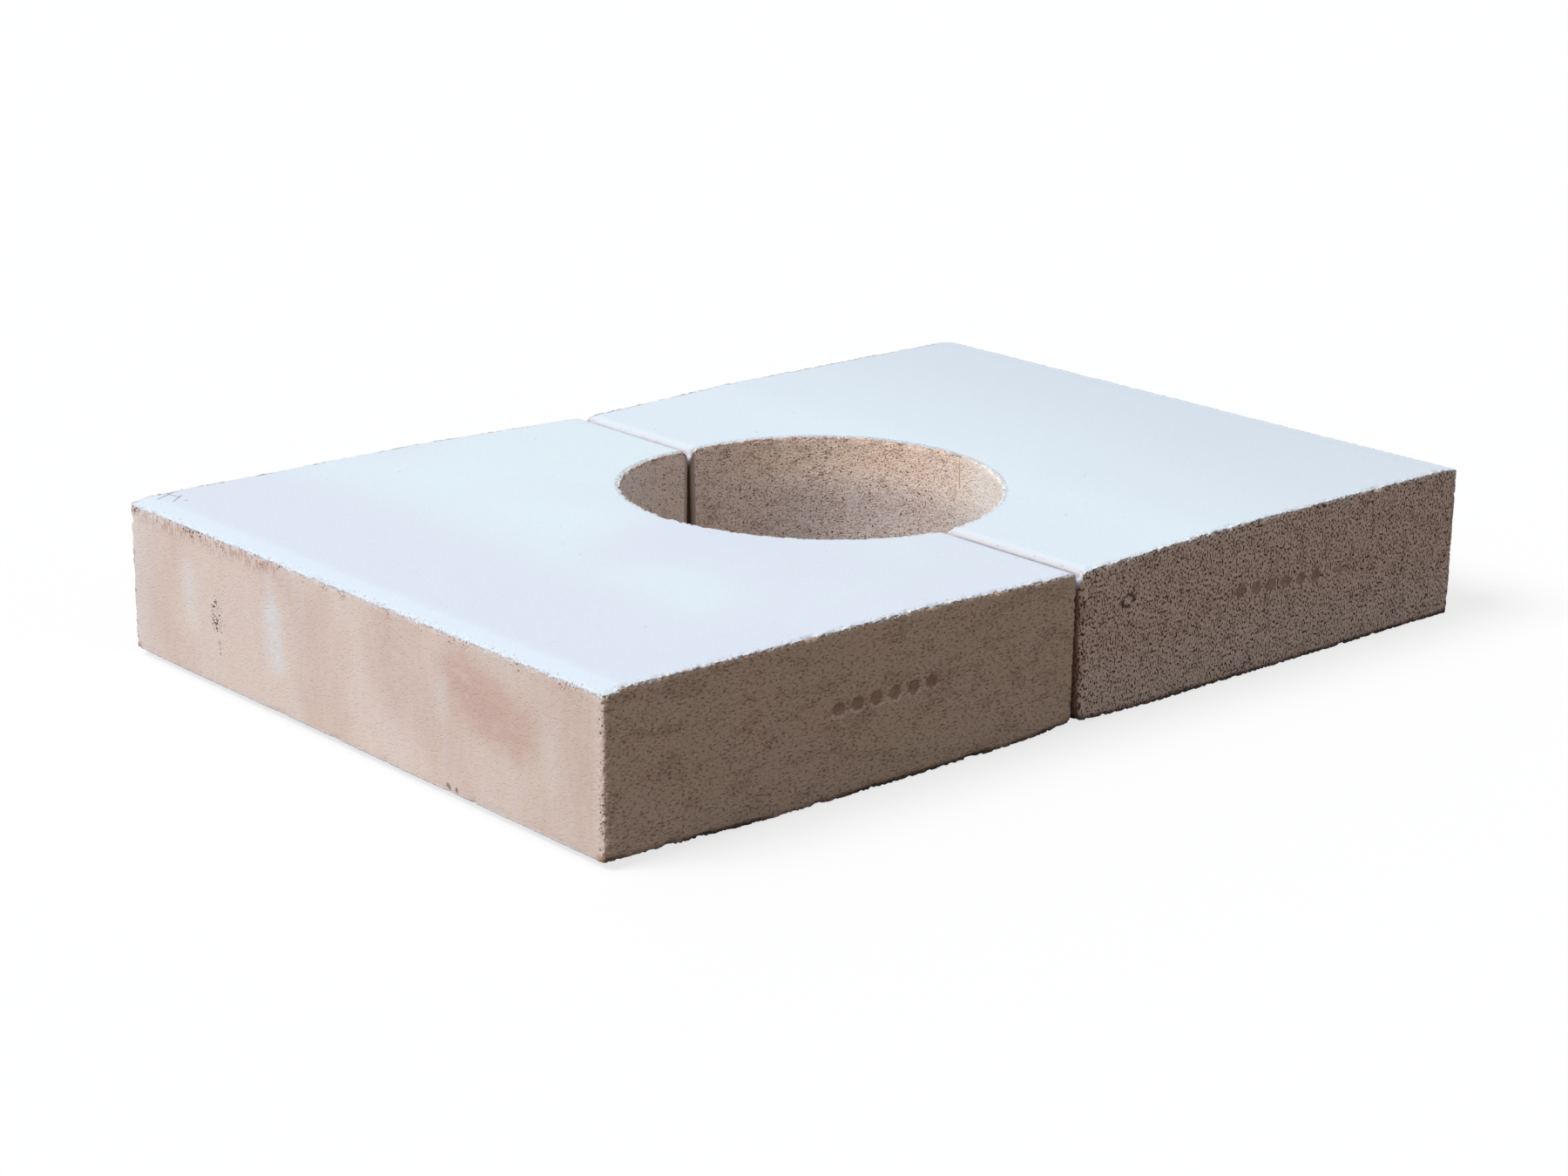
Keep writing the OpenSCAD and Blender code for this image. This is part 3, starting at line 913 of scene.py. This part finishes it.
def make_half(context, name, mirrored, marks):
    """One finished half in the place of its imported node."""
    scene = context.scene
    sizes, finish = scene.slab_sizes, scene.clay_finish
    half = scene.right_half if mirrored else scene.left_half
    middle = (sizes.half_length + sizes.gap) / 2
    inputs = {
        "Row Centre": half.row_shift + (middle if mirrored else -middle),
        "Row Slope": half.row_slope,
        "Seed": float(half.seed),
    }
    for group, names in ((finish, WEAR_SIZES), (sizes, DIMPLE_SIZES)):
        for label in names:
            inputs[label] = float(getattr(group, label.lower().replace(" ", "_")))
    tree = bpy.data.node_groups.get(RELIEF) or relief_tree()
    made = half_object(f"{name}_clay", sizes, half, mirrored)
    inputs["Finish"] = clay_material(made.name, sizes, finish, half, marks)
    worn(made, tree, inputs)
    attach(made, BODY)
    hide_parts(name)


class AddLeftHalf(bpy.types.Operator):
    """Adds the left half slab, with its rubbed outer end"""

    bl_idname = "oven_slab.left_half"
    bl_label = "Left Half"

    def execute(self, context):
        marks = [
            ("bloom", (0.1425, 0.058), (0.1405, 0.034), 10 * MM, 0.6),
            ("bloom", (0.0670, 0.072), (0.0640, 0.050), 9 * MM, 0.5),
            ("bloom", (0.0660, 0.054), (0.0630, 0.032), 14 * MM, 1.0),
            ("blush", (-0.094, 0.062), (-0.115, 0.055), 28 * MM, 1.0),
            ("blush", (-0.112, 0.053), (-0.138, 0.047), 23 * MM, 1.0),
            ("blush", (-0.034, 0.060), (-0.042, 0.044), 32 * MM, 0.6),
            ("bloom", (-0.0775, 0.056), (-0.078, 0.044), 10 * MM, 0.35),
            ("chip", (-0.0818, 0.0072), (-0.0835, 0.0060), 2 * MM, 0.9),
            ("chip", (-0.0888, 0.0070), (-0.0890, 0.0058), 1.5 * MM, 0.8),
            ("pits", (0.118, 0.045), (0.1168, 0.037), 11 * MM, 1.0),
            ("pits", (0.1165, 0.036), (0.115, 0.022), 5 * MM, 0.75),
            ("scuff", (-0.289, 0.190), (-0.274, 0.197), 0.8 * MM, 0.8),
            ("scuff", (-0.280, 0.196), (-0.278, 0.186), 0.8 * MM, 0.7),
            ("scuff", (-0.285, 0.181), (-0.275, 0.189), 0.8 * MM, 0.8),
            ("scuff", (-0.279, 0.179), (-0.2785, 0.1785), 0.9 * MM, 1.0),
        ]
        make_half(context, LEFT, False, marks)
        return {"FINISHED"}


class AddRightHalf(bpy.types.Operator):
    """Adds the right half slab, with its densely pitted front"""

    bl_idname = "oven_slab.right_half"
    bl_label = "Right Half"

    def execute(self, context):
        marks = [
            ("ring", (0.0355, 0.0599), (9.6 * MM, 6.4 * MM), 0, 0.85),
            ("crack", (-0.0090, 0.0850), (-0.0097, 0.0660), 0.8 * MM, 0.75),
            ("crack", (-0.0058, 0.0850), (-0.0064, 0.0740), 0.6 * MM, 0.5),
            ("bloom", (0.06, 0.07), (0.055, 0.03), 8 * MM, 1.0),
        ]
        make_half(context, RIGHT, True, marks)
        return {"FINISHED"}


class AddStudio(bpy.types.Operator):
    """Adds the floor, the lamps and the camera"""

    bl_idname = "oven_slab.studio"
    bl_label = "Studio"

    def execute(self, context):
        scene = context.scene
        for add in (self.add_floor, self.add_light, self.add_camera):
            add(scene, scene.studio_setup)
        scene.view_settings.view_transform = "Standard"
        return {"FINISHED"}

    def add_floor(self, scene, setup):
        side = setup.floor_side / 2
        mesh = bpy.data.meshes.new("floor")
        corners = [(-side, -side, 0), (side, -side, 0), (side, side, 0), (-side, side, 0)]
        mesh.from_pydata(corners, [], [range(4)])
        floor = bpy.data.objects.new("floor", mesh)
        scene.collection.objects.link(floor)
        finish = bpy.data.materials.new("pale_floor")
        finish.use_nodes = True
        tree = finish.node_tree
        tree.nodes.clear()
        plain = node(tree, "ShaderNodeBsdfDiffuse", None, {"Color": (*setup.floor, 1)})
        seen = node(tree, "ShaderNodeBsdfDiffuse", None, {"Color": (*setup.floor_seen, 1)})
        glow = node(tree, "ShaderNodeEmission", None, {"Color": (1, 1, 1, 1), "Strength": 1.0})
        seen = node(tree, "ShaderNodeMixShader", None, {0: setup.floor_glow, 1: seen, 2: glow})
        camera_ray = node(tree, "ShaderNodeLightPath", None, None, "Is Camera Ray")
        mixed = node(tree, "ShaderNodeMixShader", None, {0: camera_ray, 1: plain, 2: seen})
        tree.links.new(mixed.socket, tree.nodes.new("ShaderNodeOutputMaterial").inputs["Surface"])
        mesh.materials.append(finish)

    def add_light(self, scene, setup):
        lamp = bpy.data.lights.new("key", "SUN")
        lamp.angle = setup.key_spread
        lamp.color = setup.key_tint
        lamp.energy = setup.key_level * math.pi
        key = bpy.data.objects.new("key", lamp)
        key.matrix_world = Vector(setup.key_from).to_track_quat("Z", "Y").to_matrix().to_4x4()
        scene.collection.objects.link(key)

        world = bpy.data.worlds.new("studio")
        world.use_nodes = True
        tree = world.node_tree
        tree.nodes.clear()
        camera_ray, glossy_ray = (
            node(tree, "ShaderNodeLightPath", None, None, name) for name in ("Is Camera Ray", "Is Glossy Ray")
        )
        strength = camera_ray.most(glossy_ray) * (1 - setup.sky_level) + setup.sky_level
        sky = node(tree, "ShaderNodeBackground", None, {"Color": (1, 1, 1, 1), "Strength": strength})
        tree.links.new(sky.socket, tree.nodes.new("ShaderNodeOutputWorld").inputs["Surface"])
        scene.world = world

    def add_camera(self, scene, setup):
        lens = bpy.data.cameras.new("camera")
        lens.lens = setup.lens
        lens.sensor_width = SENSOR_WIDTH
        lens.clip_start = NEAR_CLIP
        camera = bpy.data.objects.new("camera", lens)
        ahead = Vector((
            math.sin(setup.heading) * math.cos(setup.tilt),
            math.cos(setup.heading) * math.cos(setup.tilt),
            -math.sin(setup.tilt),
        ))
        level = Vector((math.cos(setup.heading), -math.sin(setup.heading), 0))
        up = level.cross(ahead)
        side = math.cos(setup.roll) * level + math.sin(setup.roll) * up
        upright = math.cos(setup.roll) * up - math.sin(setup.roll) * level
        turn = Matrix((side, upright, -ahead)).transposed()
        camera.matrix_world = Matrix.Translation(setup.eye) @ turn.to_4x4()
        scene.collection.objects.link(camera)
        scene.camera = camera


class SlabPanel(bpy.types.Panel):
    """Lists the slab's makers and settings in the sidebar"""

    bl_idname = "VIEW3D_PT_oven_slab"
    bl_label = "Oven Slab"
    bl_space_type = "VIEW_3D"
    bl_region_type = "UI"
    bl_category = "Oven Slab"

    def draw(self, context):
        for maker in (AddLeftHalf, AddRightHalf, AddStudio):
            self.layout.operator(maker.bl_idname)
        for name in SETTINGS:
            box = self.layout.box()
            box.label(text=name.replace("_", " ").title())
            settings = getattr(context.scene, name)
            for key in settings.__annotations__:
                box.prop(settings, key)


SETTINGS = {
    "slab_sizes": SlabSizes,
    "left_half": HalfSizes,
    "right_half": HalfSizes,
    "clay_finish": ClayFinish,
    "studio_setup": StudioSetup,
}
CLASSES = (SlabSizes, HalfSizes, ClayFinish, StudioSetup, AddLeftHalf, AddRightHalf, AddStudio, SlabPanel)


def register():
    for kind in CLASSES:
        bpy.utils.register_class(kind)
    for name, kind in SETTINGS.items():
        setattr(bpy.types.Scene, name, bpy.props.PointerProperty(type=kind))


def unregister():
    for name in SETTINGS:
        delattr(bpy.types.Scene, name)
    for kind in reversed(CLASSES):
        bpy.utils.unregister_class(kind)


def main():
    register()
    right = bpy.context.scene.right_half
    right.lip_width, right.lip_drop, right.draft, right.foot_lift = 7 * MM, 7 * MM, 2.9 * MM, 0
    right.row_shift, right.row_slope = 2 * MM, math.radians(-3)
    right.pitting, right.streaking, right.seed = 0.8, 0, 8
    # the right half's top takes painted shade where its light falls off
    right.top_falloff, right.heel_rise = 0.6, 0
    bpy.ops.oven_slab.left_half()
    bpy.ops.oven_slab.right_half()
    bpy.ops.oven_slab.studio()


if __name__ == "__main__":
    main()
